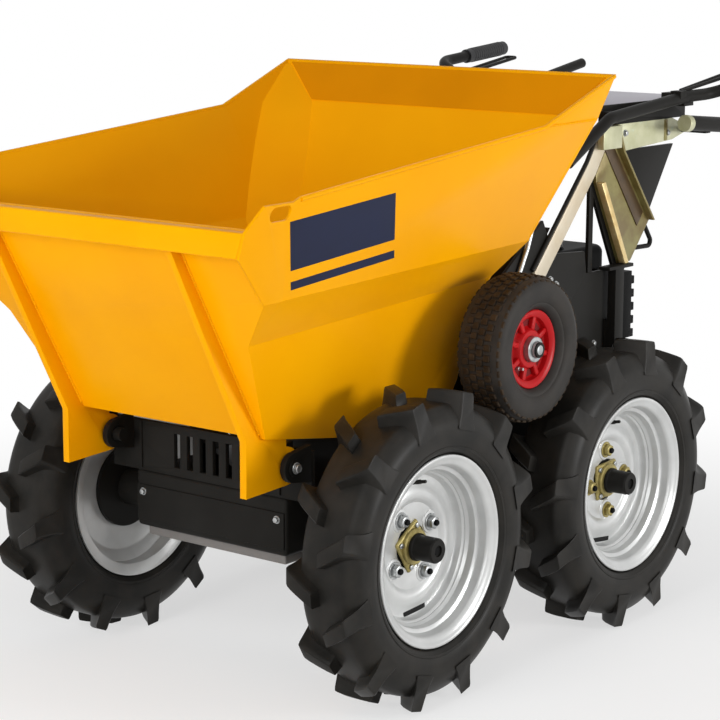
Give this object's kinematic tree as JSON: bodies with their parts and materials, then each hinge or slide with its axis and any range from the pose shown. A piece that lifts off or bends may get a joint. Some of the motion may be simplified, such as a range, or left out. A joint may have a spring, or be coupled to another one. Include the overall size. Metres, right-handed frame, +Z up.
{
  "type": "walk-behind site dumper",
  "caption": "Pedestrian-operated wheeled dumper with a forward-tipping sheet-steel skip, lugged tyres, guide wheels and rear handlebars.",
  "frame": {"origin": "on the ground, under the middle of the machine's length and width", "axes": "+X forward over the skip's lip, +Y to the operator's left, +Z up"},
  "size_m": [1.5174, 0.711, 0.897],
  "materials": {
    "skip_paint": "gloss amber enamel",
    "frame_paint": "satin black powder coat",
    "engine_paint": "black engine covers",
    "engine_casting": "black painted casting",
    "console_paint": "pale lilac-grey enamel",
    "zinc": "yellow zinc plate",
    "pale_paint": "pale plated bar",
    "rim_paint": "silver wheel enamel",
    "guide_rim_paint": "red wheel enamel",
    "tyre_rubber": "black rubber",
    "grip_rubber": "black handgrip",
    "bolt_steel": "bright zinc bolt",
    "skid_steel": "worn grey skid plate",
    "hub_plate": "yellow passivated hub"
  },
  "bodies": {
    "chassis": {"chassis_box": "frame_paint", "front_plate": "frame_paint", "belly_plate": "skid_steel", "axles": "frame_paint", "pivot_lugs": "frame_paint", "pivot_bolts": "bolt_steel", "guide_carriers": "frame_paint", "engine_block": "engine_casting", "fuel_tank": "engine_paint", "fuel_cap": "bolt_steel", "starter_housing": "engine_paint", "air_cleaner": "engine_paint", "exhaust_guard": "engine_paint", "firewall": "frame_paint", "frame_cheeks": "frame_paint", "rear_posts": "frame_paint", "front_struts": "pale_paint", "rear_struts": "zinc", "gussets": "frame_paint", "console_brackets": "zinc", "console_sides": "frame_paint", "console_plate": "console_paint", "handlebars": "frame_paint", "grips": "grip_rubber", "hand_bars": "frame_paint", "control_levers": "frame_paint", "throttle": "frame_paint"},
    "skip": {"skip_shell": "skip_paint", "skip_lip": "skip_paint", "skip_legs": "skip_paint"},
    "wheel_front_left": {"tyre_front_left": "tyre_rubber", "rim_front_left": "rim_paint", "hub_front_left": "hub_plate"},
    "wheel_front_right": {"tyre_front_right": "tyre_rubber", "rim_front_right": "rim_paint", "hub_front_right": "hub_plate"},
    "wheel_rear_left": {"tyre_rear_left": "tyre_rubber", "rim_rear_left": "rim_paint", "hub_rear_left": "hub_plate"},
    "wheel_rear_right": {"tyre_rear_right": "tyre_rubber", "rim_rear_right": "rim_paint", "hub_rear_right": "hub_plate"},
    "guide_wheel_left": {"guide_tyre_left": "tyre_rubber", "guide_rim_left": "guide_rim_paint"},
    "guide_wheel_right": {"guide_tyre_right": "tyre_rubber", "guide_rim_right": "guide_rim_paint"}
  },
  "joints": [
    {"name": "skip_tip", "type": "hinge", "parent": "chassis", "child": "skip", "pos_m": [0.50457, 0, 0.362], "axis": [0, 1, 0], "range_deg": [0, 80]},
    {"name": "wheel_front_left_spin", "type": "hinge", "parent": "chassis", "child": "wheel_front_left", "pos_m": [0.35557, 0.2995, 0.233], "axis": [0, 1, 0], "continuous": true},
    {"name": "wheel_front_right_spin", "type": "hinge", "parent": "chassis", "child": "wheel_front_right", "pos_m": [0.35557, -0.2995, 0.233], "axis": [0, 1, 0], "continuous": true},
    {"name": "wheel_rear_left_spin", "type": "hinge", "parent": "chassis", "child": "wheel_rear_left", "pos_m": [-0.16243, 0.2995, 0.233], "axis": [0, 1, 0], "continuous": true},
    {"name": "wheel_rear_right_spin", "type": "hinge", "parent": "chassis", "child": "wheel_rear_right", "pos_m": [-0.16243, -0.2995, 0.233], "axis": [0, 1, 0], "continuous": true},
    {"name": "guide_wheel_left_spin", "type": "hinge", "parent": "chassis", "child": "guide_wheel_left", "pos_m": [0.09857, 0.297, 0.4895], "axis": [0, 1, 0], "continuous": true},
    {"name": "guide_wheel_right_spin", "type": "hinge", "parent": "chassis", "child": "guide_wheel_right", "pos_m": [0.09857, -0.297, 0.4895], "axis": [0, 1, 0], "continuous": true}
  ]
}
